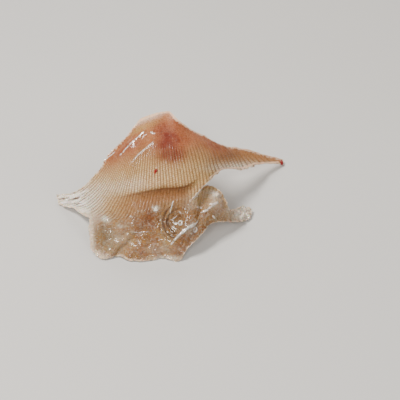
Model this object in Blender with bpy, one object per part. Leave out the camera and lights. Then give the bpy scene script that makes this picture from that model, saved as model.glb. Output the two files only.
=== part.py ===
"""A piece of dried, seasoned stingray fin: one thin curled sheet that stands on its own edges.

The sheet is built along its rays, the rods of cartilage that run side by side from the thick root edge
to the thin margin. Five lines cross the rays: the root edge, the knee where the sheet drops, the level
of the slit, the start of the front lobe below the slit, and the margin. Each line is placed as it is
seen when looking down at the fin: how far across and how far up, and how high above the ground.
"""

import math

import bmesh
import bpy
from mathutils import Matrix, Vector, noise

MM = 0.001

# The line of sight that the lines across the rays are measured along.
SIGHT_TILT = math.radians(37.0)
SIGHT_DISTANCE = 750.0 * MM

# How the sheet is divided. The first ray is its left edge, the last one ends at the right tip.
RAY_COUNT = 63
COLUMNS_PER_RAY = 2
WING_ROWS = 10
KNEE_ROWS = 3
LOBE_ROWS = 7
SLIT_RAY = 38

ROOT_THICKNESS = 1.8 * MM
MARGIN_THICKNESS = 1.1 * MM

# Relief: ridges over the rays on the upper face, and forms that bend the whole sheet.
RAY_RELIEF = 0.25 * MM
BELLY_RISE = 1.5 * MM
LIP_RISE = 0.6 * MM
LIP_REACH = 0.12
UNDERCUT_DEPTH = 1.3 * MM
UNDERCUT_PLACE = 1.35
UNDERCUT_REACH = 0.25
WAVE_RISE = 0.6 * MM
WAVE_LENGTH = 17.0 * MM
EDGE_WANDER = 0.7 * MM
EDGE_WANDER_LENGTH = 5.0 * MM
GROUND_TRIM = 0.4 * MM

# What fades in and out from ray to ray: where it begins, is full, is still full and ends.
CREASE_RAYS = (10, 20, 39, 47)
LIP_RAYS = (13, 24, 37, 42)
ARCHED_RAYS = (0, 14, 47, 61)
FLESHY_RAYS = (0, 8, 47, 59)
SLIT_OPENS = (SLIT_RAY - 3, SLIT_RAY + 5)

# Lines across the rays: ray number, then millimetres across, up and above the ground.
ROOT_EDGE = (
    (0, -53.0, 29.5, 34.5), (3, -46.5, 35.0, 40.0), (6, -41.5, 41.5, 45.5), (11, -37.0, 47.0, 49.5),
    (18, -32.5, 50.0, 52.5), (26, -26.5, 52.5, 55.5), (34, -18.5, 54.0, 58.0), (38, -14.0, 48.5, 56.0),
    (49, 3.0, 38.0, 40.5), (54, 13.0, 33.0, 31.5), (58, 26.0, 30.5, 21.0), (63, 49.5, 24.0, 2.2),
)
KNEE = (
    (0, -65.0, 13.0, 20.5), (10, -56.5, 3.0, 22.5), (17, -49.0, 2.0, 26.5), (22, -39.5, 4.0, 30.0),
    (30, -23.5, 7.2, 34.0), (38, -6.0, 9.8, 35.2), (43, 2.5, 16.5, 36.0), (49, 12.5, 24.0, 31.0),
    (58, 31.5, 25.5, 15.5), (63, 50.0, 23.0, 1.8),
)
SLIT_LIP = (
    (0, -75.0, 5.0, 10.5), (10, -65.5, -5.0, 11.5), (17, -55.0, -8.5, 17.0), (22, -44.0, -9.5, 20.5),
    (30, -24.5, -5.5, 23.5), (38, -6.0, -0.5, 27.0), (43, 3.5, 9.5, 32.5), (49, 15.5, 18.5, 25.5),
    (54, 26.0, 18.0, 17.5), (58, 36.0, 21.5, 11.0), (63, 50.0, 21.5, 1.3),
)
LOBE_START = (
    (38, -6.0, -0.5, 27.0), (40, -2.0, 2.4, 27.5), (42, 3.0, 8.5, 27.5), (44, 7.0, 8.2, 27.0),
    (47, 13.0, 4.2, 24.0), (50, 15.6, -2.0, 18.5), (53, 18.2, -5.8, 13.5), (58, 25.5, -3.6, 6.5),
    (63, 31.5, -5.5, 2.5),
)
MARGIN = (
    (0, -86.5, 3.0, 3.5), (2, -86.0, -1.0, 1.3), (4, -82.5, -3.6, 2.2), (7, -75.5, -5.2, 6.3),
    (10, -70.5, -8.8, 8.6), (13, -66.7, -12.0, 9.0), (16, -67.5, -17.0, 7.5), (19, -66.5, -23.5, 4.0),
    (22, -64.5, -31.0, 1.5), (25, -58.0, -35.5, 1.0), (28, -50.0, -33.5, 1.2), (31, -41.5, -36.5, 1.0),
    (34, -30.0, -36.5, 1.0), (36, -21.0, -35.0, 1.2), (38, -14.0, -37.0, 1.0), (41, -7.6, -29.6, 6.5),
    (45, 0.6, -21.0, 11.0), (49, 7.0, -14.4, 12.5), (54, 15.0, -13.0, 9.5), (58, 21.5, -13.4, 5.0),
    (63, 30.0, -11.6, 1.2),
)

# Soft folds in millimetres: a line seen from (across, up) to (across, up), its rise and half width.
FOLDS = (
    ((-33.0, 41.0), (-49.0, 26.5), 0.8, 2.0),
    ((-27.0, 34.0), (-40.0, 22.5), 0.7, 2.0),
    ((-17.0, -26.2), (9.0, -0.8), 2.4, 5.0),
)
BOWL_AT = (-17.0, -13.0)
BOWL_RADIUS = 6.5
BOWL_DEPTH = 1.6

# Flakes of chilli stuck to the glaze: seen at (across, up), length, width, thickness and turn.
FLAKES = (
    ((-27.0, 16.8), 2.9, 1.5, 1.0, math.radians(80.0)),
    ((49.0, 22.6), 2.6, 1.7, 1.2, math.radians(35.0)),
)

FIN_COLOUR = (0.56, 0.33, 0.16, 1.0)
FIN_ROUGHNESS = 0.3

TOWARD_EYE = Vector((0.0, -math.cos(SIGHT_TILT), math.sin(SIGHT_TILT)))
SIGHT_UP = Vector((0.0, math.sin(SIGHT_TILT), math.cos(SIGHT_TILT)))
EYE = TOWARD_EYE * SIGHT_DISTANCE


def clear_scene():
    for obj in list(bpy.data.objects):
        bpy.data.objects.remove(obj)


def smooth_step(low, high, value):
    """0 at low, 1 at high and a smooth change between."""
    share = min(max((value - low) / (high - low), 0.0), 1.0)
    return share * share * (3.0 - 2.0 * share)


def between(rays, ray):
    """1 between the middle two of four rays, 0 outside them and a smooth change at each end."""
    return smooth_step(rays[0], rays[1], ray) * (1.0 - smooth_step(rays[2], rays[3], ray))


def sight_target(across, up):
    """The point this many millimetres across and up on the plane of sight."""
    return Vector((across * MM, 0.0, 0.0)) + SIGHT_UP * (up * MM)


def seen_point(across, up, height):
    """The point seen this far across and up that is this high above the ground."""
    target = sight_target(across, up)
    reach = (EYE.z - height * MM) / (EYE.z - target.z)
    return EYE + (target - EYE) * reach


def seen_at(point):
    """Where a point is seen: millimetres across and up on the plane of sight."""
    ray = point - EYE
    target = EYE + ray * (SIGHT_DISTANCE / -ray.dot(TOWARD_EYE))
    return Vector((target.x / MM, target.dot(SIGHT_UP) / MM))


def hermite(start, end, start_slope, end_slope, low, high, at):
    """The cubic curve from start to end with the given slopes, read between low and high."""
    span = high - low
    x = (at - low) / span
    held = (start * (1 + 2 * x) + start_slope * (span * x)) * (1 - x) ** 2
    return held + (end * (3 - 2 * x) + end_slope * (span * (x - 1))) * x ** 2


def slope_between(before, after, span_before, span_after):
    return (before * span_after + after * span_before) / (span_before + span_after)


def line_point(line, ray):
    """A point on one of the lines across the rays."""
    knots = [knot[0] for knot in line]
    points = [seen_point(*knot[1:]) for knot in line]
    steps = [(points[i + 1] - points[i]) / (knots[i + 1] - knots[i]) for i in range(len(line) - 1)]
    slopes = [steps[0]]
    for i in range(1, len(line) - 1):
        slopes.append(slope_between(steps[i - 1], steps[i], knots[i] - knots[i - 1], knots[i + 1] - knots[i]))
    slopes.append(steps[-1])
    i = 0
    while i < len(line) - 2 and knots[i + 1] <= ray:
        i += 1
    return hermite(points[i], points[i + 1], slopes[i], slopes[i + 1], knots[i], knots[i + 1], ray)


def ray_point(ray, place, below_slit):
    """A point of the bare sheet. place runs 0 root edge, 1 knee, 2 slit, 3 margin."""
    root, knee, slit, margin = (line_point(line, ray) for line in (ROOT_EDGE, KNEE, SLIT_LIP, MARGIN))
    start = line_point(LOBE_START, ray) if ray > SLIT_RAY else slit
    opened = smooth_step(*SLIT_OPENS, ray)
    creased = between(CREASE_RAYS, ray)

    steps = (knee - root, slit - knee, margin - start)
    spans = [step.length for step in steps]
    wing, drop, lobe = (step.normalized() for step in steps)
    at_knee = slope_between(wing, drop, spans[0], spans[1])
    at_slit = slope_between(drop, lobe, spans[1], spans[2])
    if place <= 1.0:
        return hermite(root, knee, wing, at_knee.lerp(wing, creased), 0.0, spans[0], place * spans[0])
    if place <= 2.0 and not below_slit:
        leave, arrive = at_knee.lerp(drop, creased), at_slit.lerp(drop, opened)
        return hermite(knee, slit, leave, arrive, 0.0, spans[1], (place - 1.0) * spans[1])
    leave = at_slit.lerp(lobe, opened)
    return hermite(start, margin, leave, lobe, 0.0, spans[2], (place - 2.0) * spans[2])


def line_distance(seen, start, end):
    """Distance from a seen place to a seen line."""
    start, end = Vector(start), Vector(end)
    share = min(max((seen - start).dot(end - start) / (end - start).length_squared, 0.0), 1.0)
    return (seen - start.lerp(end, share)).length


def ray_strength(ray, place):
    """How clearly a ray stands out: strong across the wing, lost in the flesh of the root and in the lobe."""
    flesh_ends = 0.5 + 0.4 * smooth_step(40, 54, ray) - 0.2 * (1.0 - smooth_step(6, 20, ray))
    clear = smooth_step(flesh_ends - 0.35, flesh_ends, place)
    return clear * (1.0 - 0.9 * smooth_step(1.8, 2.35, place) * smooth_step(8, 16, ray))


def ray_ridge(ray, place):
    """How far the upper face stands proud over a ray, and lies low between two rays."""
    return RAY_RELIEF * ray_strength(ray, place) * math.cos(2.0 * math.pi * ray)


def form_rise(ray, place, point):
    """How far folds, lip, bowl and slow waves lift the whole sheet off the bare one."""
    seen = seen_at(point)
    middle = between(ARCHED_RAYS, ray)
    drift = noise.noise(point / WAVE_LENGTH) + 0.5 * noise.noise(point * 2.3 / WAVE_LENGTH)
    rise = WAVE_RISE * drift * middle
    if place < 1.0:
        rise += BELLY_RISE * middle * math.sin(math.pi * place)
    lipped = between(LIP_RAYS, ray)
    rise += LIP_RISE * lipped * math.exp(-(((place - 1.0) / LIP_REACH) ** 2))
    rise -= UNDERCUT_DEPTH * lipped * math.exp(-(((place - UNDERCUT_PLACE) / UNDERCUT_REACH) ** 2))
    for start, end, height, half_width in FOLDS:
        rise += height * MM * math.exp(-((line_distance(seen, start, end) / half_width) ** 2))
    rise -= BOWL_DEPTH * MM * math.exp(-(((seen - Vector(BOWL_AT)).length / BOWL_RADIUS) ** 4))
    return rise


def sheet_thickness(ray, place):
    """Thick in the flesh of the root, thin at the margin and at both tips."""
    fleshy = (1.0 - smooth_step(0.0, 1.6, place)) * between(FLESHY_RAYS, ray)
    return MARGIN_THICKNESS + (ROOT_THICKNESS - MARGIN_THICKNESS) * fleshy


def place_of_row(row):
    if row <= WING_ROWS:
        return row / WING_ROWS
    if row <= WING_ROWS + KNEE_ROWS:
        return 1.0 + (row - WING_ROWS) / KNEE_ROWS
    return 2.0 + (row - WING_ROWS - KNEE_ROWS) / LOBE_ROWS


def slit_grid():
    """A flat grid with columns along the rays, cut along the slit."""
    rows = WING_ROWS + KNEE_ROWS + LOBE_ROWS
    columns = RAY_COUNT * COLUMNS_PER_RAY
    bm = bmesh.new()
    bmesh.ops.create_grid(bm, x_segments=columns, y_segments=rows, size=0.5)
    slit_y = 0.5 - (WING_ROWS + KNEE_ROWS) / rows
    slit_x = SLIT_RAY / RAY_COUNT - 0.5
    near = 0.1 / columns
    slit = [
        edge for edge in bm.edges
        if all(abs(v.co.y - slit_y) < near and v.co.x > slit_x - near for v in edge.verts)
    ]
    bmesh.ops.split_edges(bm, edges=slit)
    ray_of, place_of, below = {}, {}, {}
    for vert in bm.verts:
        ray_of[vert] = (vert.co.x + 0.5) * RAY_COUNT
        place_of[vert] = place_of_row(round((0.5 - vert.co.y) * rows))
        below[vert] = all(face.calc_center_median().y < slit_y for face in vert.link_faces)
    return bm, ray_of, place_of, below


def wander_edges(bm, ray_of, place_of):
    """Moves the free edges in and out along the sheet, as a torn edge wanders."""
    moves = {}
    for vert in bm.verts:
        if not vert.is_boundary:
            continue
        inward = Vector()
        for edge in vert.link_edges:
            if not edge.is_boundary:
                inward += (edge.other_vert(vert).co - vert.co).normalized()
        amount = noise.noise(vert.co / EDGE_WANDER_LENGTH) * EDGE_WANDER
        at_slit_end = abs(place_of[vert] - 2.0) < 0.1 and ray_of[vert] < SLIT_RAY + 5
        moves[vert] = inward * amount * (0.0 if at_slit_end else 1.0)
    for vert, move in moves.items():
        vert.co += move


def fin_object():
    """The fin as a closed sheet: a ridged upper face and a smooth lower face, joined round the edges."""
    bm, ray_of, place_of, below = slit_grid()
    for vert in bm.verts:
        vert.co = ray_point(ray_of[vert], place_of[vert], below[vert])
    wander_edges(bm, ray_of, place_of)
    bm.normal_update()

    upper = list(bm.verts)
    rim = [edge for edge in bm.edges if edge.is_boundary]
    copies = bmesh.ops.duplicate(bm, geom=upper + list(bm.edges) + list(bm.faces))["vert_map"]
    lifts, drops = {}, {}
    for vert in upper:
        ray, place = ray_of[vert], place_of[vert]
        rise = form_rise(ray, place, vert.co)
        lifts[vert] = vert.normal * (rise + ray_ridge(ray, place))
        drops[vert] = vert.normal * (rise - sheet_thickness(ray, place))
    for edge in rim:
        face = edge.link_faces[0]
        first, second = edge.verts
        corners = list(face.verts)
        if corners[(corners.index(first) + 1) % len(corners)] != second:
            first, second = second, first
        bm.faces.new((second, first, copies[first], copies[second]))
    lower = {copies[vert] for vert in upper}
    underside = [face for face in bm.faces if all(vert in lower for vert in face.verts)]
    bmesh.ops.reverse_faces(bm, faces=underside)
    for vert in upper:
        copies[vert].co += drops[vert]
        vert.co += lifts[vert]
    bmesh.ops.triangulate(bm, faces=list(bm.faces), quad_method="FIXED")

    mesh = bpy.data.meshes.new("dried_fin")
    bm.to_mesh(mesh)
    bm.free()
    fin = bpy.data.objects.new("dried_fin", mesh)
    bpy.context.scene.collection.objects.link(fin)
    return fin


def flake_object(fin, index, seen, length, width, thickness, turn):
    """A small chip of dried chilli, half sunk in the upper face where it is seen."""
    hit, place, normal, face = fin.ray_cast(EYE, (sight_target(*seen) - EYE).normalized())
    bm = bmesh.new()
    bmesh.ops.create_uvsphere(bm, u_segments=6, v_segments=4, radius=0.5 * MM)
    bmesh.ops.scale(bm, vec=(length, width, thickness), verts=bm.verts)
    turned = normal.to_track_quat("Z", "Y").to_matrix().to_4x4() @ Matrix.Rotation(turn, 4, "Z")
    bmesh.ops.transform(bm, matrix=Matrix.Translation(place + normal * 0.15 * thickness * MM) @ turned,
                        verts=bm.verts)
    mesh = bpy.data.meshes.new(f"flake_{index}")
    bm.to_mesh(mesh)
    bm.free()
    return bpy.data.objects.new(f"flake_{index}", mesh)


def fuse_flakes(fin):
    flakes = bpy.data.collections.new("flakes")
    bpy.context.scene.collection.children.link(flakes)
    bpy.context.view_layer.update()
    for index, flake in enumerate(FLAKES):
        flakes.objects.link(flake_object(fin, index, *flake))
    union = fin.modifiers.new("flakes", "BOOLEAN")
    union.operation = "UNION"
    union.operand_type = "COLLECTION"
    union.collection = flakes
    union.solver = "EXACT"
    graph = bpy.context.evaluated_depsgraph_get()
    fused = bpy.data.meshes.new_from_object(fin.evaluated_get(graph))
    fin.modifiers.clear()
    fin.data = fused
    for obj in list(flakes.objects):
        bpy.data.objects.remove(obj)
    bpy.data.collections.remove(flakes)


def stand_on_ground(fin):
    """Stands the fin on z = 0, centred on the origin, its lowest edges worn to small flat spots."""
    corners = [vert.co for vert in fin.data.vertices]
    low = Vector([min(corner[axis] for corner in corners) for axis in range(3)])
    high = Vector([max(corner[axis] for corner in corners) for axis in range(3)])
    shift = Vector((-(low.x + high.x) / 2, -(low.y + high.y) / 2, -low.z - GROUND_TRIM))
    for vert in fin.data.vertices:
        vert.co += shift
        vert.co.z = max(vert.co.z, 0.0)


def finish(fin):
    material = bpy.data.materials.new("dried_fin")
    material.use_nodes = True
    shader = material.node_tree.nodes["Principled BSDF"]
    shader.inputs["Base Color"].default_value = FIN_COLOUR
    shader.inputs["Roughness"].default_value = FIN_ROUGHNESS
    fin.data.materials.clear()
    fin.data.materials.append(material)


def build():
    clear_scene()
    fin = fin_object()
    fuse_flakes(fin)
    stand_on_ground(fin)
    finish(fin)


build()
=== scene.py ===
import math

import bmesh
import bpy
from mathutils import Matrix, Vector, kdtree, noise


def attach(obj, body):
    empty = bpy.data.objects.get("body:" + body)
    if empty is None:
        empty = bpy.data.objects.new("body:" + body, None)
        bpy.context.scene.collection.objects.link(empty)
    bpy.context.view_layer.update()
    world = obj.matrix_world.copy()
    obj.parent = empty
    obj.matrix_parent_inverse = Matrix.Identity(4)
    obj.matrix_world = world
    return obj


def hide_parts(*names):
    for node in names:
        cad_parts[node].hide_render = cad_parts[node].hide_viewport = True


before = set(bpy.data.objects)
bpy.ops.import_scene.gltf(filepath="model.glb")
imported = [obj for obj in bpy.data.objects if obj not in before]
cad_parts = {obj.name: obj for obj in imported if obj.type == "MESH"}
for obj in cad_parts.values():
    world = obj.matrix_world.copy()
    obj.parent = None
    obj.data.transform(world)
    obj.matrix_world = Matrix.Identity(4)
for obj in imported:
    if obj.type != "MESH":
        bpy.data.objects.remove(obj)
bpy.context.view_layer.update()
mm = 0.001

# The fin is measured looking down at it: millimetres across and up as seen, and height above the ground.
sight = {
    "tilt": math.radians(37.0),
    "distance": 0.75,
    # from the line of sight's own frame to the fin at rest
    "restShift": Vector((0.017114, 0.010114, -0.000352)),
    "lens": 112.5,
    "sensorWidth": 36.0,
}
towardEye = Vector((0.0, -math.cos(sight["tilt"]), math.sin(sight["tilt"])))
sightUp = Vector((0.0, math.sin(sight["tilt"]), math.cos(sight["tilt"])))
eye = towardEye * sight["distance"]

fin = {
    "rays": 63,
    "columnsPerRay": 6,
    "wingRows": 48,
    "kneeRows": 22,
    "lobeRows": 57,
    "slitRay": 38,
    "rootThick": 1.8,
    "skinThick": 1.1,
    "rimThick": 0.35,
    "rimTaper": 3.0,  # how far in from a free edge the sheet is back to its full thickness
    "rayRelief": 0.14,
    "rayBreadth": 2.6,  # the higher, the broader the rays and the narrower the grooves
    "bellyRise": 1.5,
    "lipRise": 0.6,
    "lipUndercut": 1.0,
    "lipStep": 0.35,
    "wander": 0.7,  # how far the torn edge goes in and out, over wanderLength
    "wanderLength": 5.0,
    "nibble": 0.65,
    "nibbleLength": 2.0,
    "crumb": 0.35,
    "crumbLength": 0.9,
    "notch": 3.2,
    "notchLength": 3.2,
    "notchStart": 0.3,
    "tornRoot": 0.2,  # how far the small tears go at the root edge and the slit, as a share of the margin's
    "tornLip": 0.45,
    "bead": 0.35,  # the root edge is rolled up a little
    "beadReach": 0.8,
    "ruffle": 0.8,
    "ruffleLength": 6.5,
    "ruffleReach": 4.0,
    "rimReach": 1.8,  # how far in the rim is crumbled
    # wrinkles of several sizes: rise and length of each
    "waves": ((0.6, 17.0), (0.3, 17.0 / 2.3)),
    "lobeWrinkles": ((0.5, 4.5), (0.3, 1.9), (0.11, 0.95)),
    "rimWrinkles": ((0.45, 1.3), (0.35, 0.7)),
    "crestWrinkles": ((0.8, 1.6),),  # these two as a share of the rise they vary
    "crumpleWrinkles": ((1.0, 3.2), (0.5, 1.5)),
    # rays between which a form comes, and between which it goes
    "creaseRays": (10, 20, 39, 47),
    "lipRays": (9, 23, 36, 41),
    "lipRiseRays": (13, 24, 37, 42),
    "middleRays": (0, 14, 47, 61),
    "fleshRays": (0, 8, 47, 59),
    "crumbledRays": (11, 15, 24, 29),
    # where the rays fade: into the flesh of the root, under the lip and into the lobe
    "fleshFade": 5.0,
    "rayLossAtLip": 0.4,
    "rayLossInLobe": 0.95,
    "rayEnds": 1.8,
    # how wide the pale frayed band is along each edge
    "frost": {
        "root": 1.4, "side": 0.8, "slit": 0.6, "leftMargin": 1.3, "rightMargin": 0.7, "crumbledMargin": 2.8,
    },
    # lines across the rays: ray, then millimetres across, up and high
    "rootEdge": (
        (0, -53.0, 29.5, 34.5), (3, -46.5, 35.0, 40.0), (6, -41.5, 41.5, 45.5), (11, -37.0, 47.0, 49.5),
        (18, -32.5, 50.0, 52.5), (26, -26.5, 52.2, 55.5), (31, -21.8, 53.2, 57.2), (34, -18.2, 53.0, 58.0),
        (38, -14.0, 48.5, 56.0), (49, 3.0, 38.0, 40.5), (54, 13.0, 33.0, 31.5), (58, 26.0, 30.5, 21.0),
        (63, 49.5, 24.0, 2.2),
    ),
    "knee": (
        (0, -65.0, 13.0, 20.5), (9.5, -56.5, 3.0, 22.5), (14.2, -49.0, 2.0, 26.5), (19.5, -39.5, 4.0, 30.0),
        (28.4, -23.5, 7.2, 34.0), (38, -6.0, 9.8, 35.2), (43, 2.5, 16.5, 36.0), (49, 12.5, 24.0, 31.0),
        (58, 31.5, 25.5, 15.5), (63, 50.0, 23.0, 1.8),
    ),
    "slitLip": (
        (0, -75.0, 5.0, 10.5), (9, -65.5, -5.0, 11.5), (14.5, -55.0, -8.5, 17.0), (20, -44.0, -9.5, 20.5),
        (29, -24.5, -5.5, 23.5), (38, -6.0, -0.5, 27.0), (43, 3.5, 9.5, 32.5), (49, 15.5, 18.5, 25.5),
        (54, 26.0, 18.0, 17.5), (58, 36.0, 21.5, 11.0), (63, 50.0, 21.5, 1.3),
    ),
    "lobeStart": (
        (38, -6.0, -0.5, 27.0), (40, -2.0, 2.4, 27.5), (42, 3.0, 8.5, 27.5), (44, 7.0, 8.2, 27.0),
        (47, 13.0, 4.2, 24.0), (50, 15.6, -2.0, 18.5), (53, 18.2, -5.8, 13.5), (58, 25.5, -3.6, 6.5),
        (63, 31.5, -5.5, 2.5),
    ),
    "margin": (
        (0, -86.5, 3.0, 3.5), (2, -86.0, -1.0, 1.3), (4, -82.5, -3.6, 2.2), (7, -75.5, -5.2, 6.3),
        (10, -70.5, -8.8, 8.6), (13, -66.7, -12.0, 9.0), (16, -67.5, -17.0, 7.5), (19, -66.5, -23.5, 4.0),
        (22, -64.5, -31.0, 1.5), (25, -58.0, -35.5, 1.0), (28, -50.0, -33.5, 1.2), (31, -41.5, -36.5, 1.0),
        (34, -30.0, -36.5, 1.0), (36, -21.0, -35.0, 1.2), (38, -14.0, -37.0, 1.0), (41, -7.6, -29.6, 6.5),
        (45, 0.6, -21.0, 11.0), (49, 7.0, -14.4, 12.5), (54, 15.0, -13.0, 9.5), (58, 21.5, -13.4, 5.0),
        (63, 30.0, -11.6, 1.2),
    ),
    # folds: from and to as seen, rise and half width
    "folds": (
        ((-33.0, 41.0), (-49.0, 26.5), 0.8, 2.0),
        ((-27.0, 34.0), (-40.0, 22.5), 0.7, 2.0),
        ((-17.0, -26.2), (9.0, -0.8), 2.4, 5.0),
        ((-45.0, -33.0), (-33.0, -21.0), 1.3, 4.5),
    ),
    "bowl": ((-17.0, -13.0), 6.5, 1.6),  # where it is seen, radius and depth
    # where the smooth flesh of the root ends and the rays begin, as seen
    "fleshLine": (
        (-90.0, 20.0), (-70.0, 23.0), (-62.0, 24.0), (-53.0, 24.0), (-43.0, 27.0), (-36.0, 30.0),
        (-30.0, 31.0), (-21.0, 29.5), (-13.0, 29.5), (-6.0, 32.5), (1.0, 32.5), (6.5, 29.0),
        (12.5, 27.5), (24.0, 27.5), (40.0, 25.0), (60.0, 22.0),
    ),
    "ripples": {
        "centre": (-12.0, -13.0),
        "spacing": 2.7,
        "rise": 0.3,
        "reach": (4.0, 7.0, 10.5, 14.5),  # distances from the centre between which they come and go
        "side": (2.0, -5.0),  # and across from it: none on the right, full on the left
        "wander": ((0.8, 6.0),),
    },
    # sharp crests in the glaze: from and to as seen, rise and half width
    "crests": (
        ((-32.5, 40.2), (-47.0, 25.5), 0.32, 1.1), ((-27.4, 33.4), (-39.4, 22.6), 0.3, 1.0),
        ((-51.0, 29.5), (-58.0, 23.0), 0.3, 1.0), ((-16.8, -26.4), (-1.6, -10.6), 0.5, 1.1),
        ((2.4, -7.6), (9.0, -2.0), 0.5, 1.0), ((-16.0, -1.4), (-17.8, -7.4), 0.45, 0.8),
        ((-13.8, -9.6), (-17.1, -12.2), 0.4, 0.8), ((-40.8, -18.8), (-31.0, -19.4), 0.3, 0.7),
    ),
    # blisters in the glaze: where they are seen, radius and rise
    "blisters": (
        ((-11.8, -13.8), 1.3, 0.6), ((-3.4, -18.0), 1.6, 0.5), ((-2.0, -4.8), 1.7, 0.5),
        ((7.8, -10.0), 1.5, 0.6), ((-26.0, -6.2), 1.3, 0.6), ((-24.2, -7.6), 0.9, 0.5),
        ((-12.0, -7.4), 0.9, 0.5), ((-28.0, 40.5), 1.2, 0.5), ((-47.0, 21.0), 0.9, 0.4),
        ((-56.0, -12.2), 1.3, 0.5), ((-48.6, -15.4), 1.2, 0.4), ((10.5, 3.2), 1.8, 0.6),
    ),
    # crumpled ends: where they are seen, radius and rise
    "crumples": (
        ((27.0, -8.0), 9.0, 2.3), ((-80.0, 0.0), 12.0, 1.1), ((13.0, 1.0), 7.0, 1.0),
        ((-18.0, -34.0), 8.0, 0.6),
    ),
}


def smoothStep(low, high, value):  # rises from low to high, or falls where high is the smaller
    share = min(max((value - low) / (high - low), 0.0), 1.0)
    return share * share * (3.0 - 2.0 * share)


def within(bounds, value):  # rises between the first two bounds and falls between the last two
    start, full, ebb, end = bounds
    return smoothStep(start, full, value) * smoothStep(end, ebb, value)


def lerp(start, end, share):
    return start + (end - start) * share


def bump(distance, width, power=2):
    return math.exp(-((distance / width) ** power))


def wrinkled(at, sizes):  # noise of several sizes, each with its rise and its length
    return sum(rise * noise.noise(at / length) for rise, length in sizes)


def sightTarget(across, up):
    return Vector((across * mm, 0.0, 0.0)) + sightUp * (up * mm)


def seenPoint(across, up, height):
    target = sightTarget(across, up)
    return eye + (target - eye) * ((eye.z - height * mm) / (eye.z - target.z))


def seenAt(point):
    ray = point - eye
    target = eye + ray * (sight["distance"] / -ray.dot(towardEye))
    return Vector((target.x / mm, target.dot(sightUp) / mm))


def hermite(start, end, startSlope, endSlope, span, x):
    held = (start * (1 + 2 * x) + startSlope * (span * x)) * (1 - x) ** 2
    return held + (end * (3 - 2 * x) + endSlope * (span * (x - 1))) * x ** 2


def slopeBetween(before, after, spanBefore, spanAfter):
    return (before * spanAfter + after * spanBefore) / (spanBefore + spanAfter)


def lineCurve(line):  # the line's knots, its points and the slope at each
    knots = [knot[0] for knot in line]
    points = [seenPoint(*knot[1:]) for knot in line]
    gaps = [after - before for before, after in zip(knots, knots[1:])]
    steps = [(points[i + 1] - points[i]) / gap for i, gap in enumerate(gaps)]
    inner = [slopeBetween(steps[i - 1], steps[i], gaps[i - 1], gaps[i]) for i in range(1, len(steps))]
    return knots, points, [steps[0]] + inner + [steps[-1]]


def onLine(curve, ray):
    knots, points, slopes = curve
    i = 0
    while i < len(knots) - 2 and knots[i + 1] <= ray:
        i += 1
    span = knots[i + 1] - knots[i]
    return hermite(points[i], points[i + 1], slopes[i], slopes[i + 1], span, (ray - knots[i]) / span)


def torn(point, depth=1.0):  # how far in a torn edge lies at this point, in millimetres
    place = point / mm
    inward = noise.noise(place / fin["wanderLength"]) * fin["wander"]
    inward += noise.noise(place / fin["nibbleLength"]) * fin["nibble"] * depth
    inward += noise.noise(place / fin["crumbLength"]) * fin["crumb"] * depth
    notch = noise.noise(place / fin["notchLength"] + Vector((9.0, 4.0, 2.0)))
    return inward + max(notch - fin["notchStart"], 0.0) * fin["notch"] * depth


# From here on ray counts the rays from the left tip, 0, to the right tip, 63, and place runs along a ray:
# 0 root edge, 1 knee, 2 slit, 3 margin.
def rayPath(curves, ray):
    # One ray's own curve from root edge to margin, with how much its torn ends are in
    lines = ("rootEdge", "knee", "slitLip", "margin")
    root, knee, slit, margin = (onLine(curves[name], ray) for name in lines)
    start = onLine(curves["lobeStart"], ray) if ray > fin["slitRay"] else slit
    opened = smoothStep(fin["slitRay"] - 3, fin["slitRay"] + 5, ray)
    creased = within(fin["creaseRays"], ray)
    steps = (knee - root, slit - knee, margin - start)
    spans = [step.length for step in steps]
    wing, drop, lobe = (step.normalized() for step in steps)
    atKnee = slopeBetween(wing, drop, spans[0], spans[1])
    atSlit = slopeBetween(drop, lobe, spans[1], spans[2])
    lipTorn = smoothStep(fin["slitRay"] + 4, fin["slitRay"] + 8, ray)
    tip = smoothStep(fin["rays"], fin["rays"] - 5, ray)
    return {
        "spans": spans,
        "wing": (root, knee, wing, atKnee.lerp(wing, creased)),
        "drop": (knee, slit, atKnee.lerp(drop, creased), atSlit.lerp(drop, opened)),
        "lobe": (start, margin, atSlit.lerp(lobe, opened), lobe),
        "tornRoot": torn(root, fin["tornRoot"]) * mm * tip / spans[0],
        "tornLip": torn(slit, fin["tornLip"]) * mm * lipTorn * tip / spans[1],
        "tornStart": torn(start, fin["tornLip"]) * mm * lipTorn / spans[2],
        "tornMargin": torn(margin) * mm / spans[2],
    }


def onPath(path, place, belowSlit):  # the point, and millimetres along the ray from the knee
    spans = path["spans"]
    if place <= 1.0:
        share = lerp(path["tornRoot"], 1.0, place)
        return hermite(*path["wing"], spans[0], share), (share - 1.0) * spans[0] / mm
    if place <= 2.0 and not belowSlit:
        share = lerp(0.0, 1.0 - path["tornLip"], place - 1.0)
        return hermite(*path["drop"], spans[1], share), share * spans[1] / mm
    share = lerp(path["tornStart"], 1.0 - path["tornMargin"], place - 2.0)
    return hermite(*path["lobe"], spans[2], share), (spans[1] + share * spans[2]) / mm


def placeOfRow(row):
    if row <= fin["wingRows"]:
        return row / fin["wingRows"]
    if row <= fin["wingRows"] + fin["kneeRows"]:
        return 1.0 + (row - fin["wingRows"]) / fin["kneeRows"]
    return 2.0 + (row - fin["wingRows"] - fin["kneeRows"]) / fin["lobeRows"]


def lineDistance(seen, start, end):
    start, end = Vector(start), Vector(end)
    share = min(max((seen - start).dot(end - start) / (end - start).length_squared, 0.0), 1.0)
    return (seen - start.lerp(end, share)).length


def fleshLineUp(across):
    line = fin["fleshLine"]
    for (left, leftUp), (right, rightUp) in zip(line, line[1:]):
        if across <= right:
            return lerp(leftUp, rightUp, (across - left) / (right - left))
    return line[-1][1]


def lipShare(ray):  # where the knee is a sharp lip
    return within(fin["lipRays"], ray)


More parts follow.
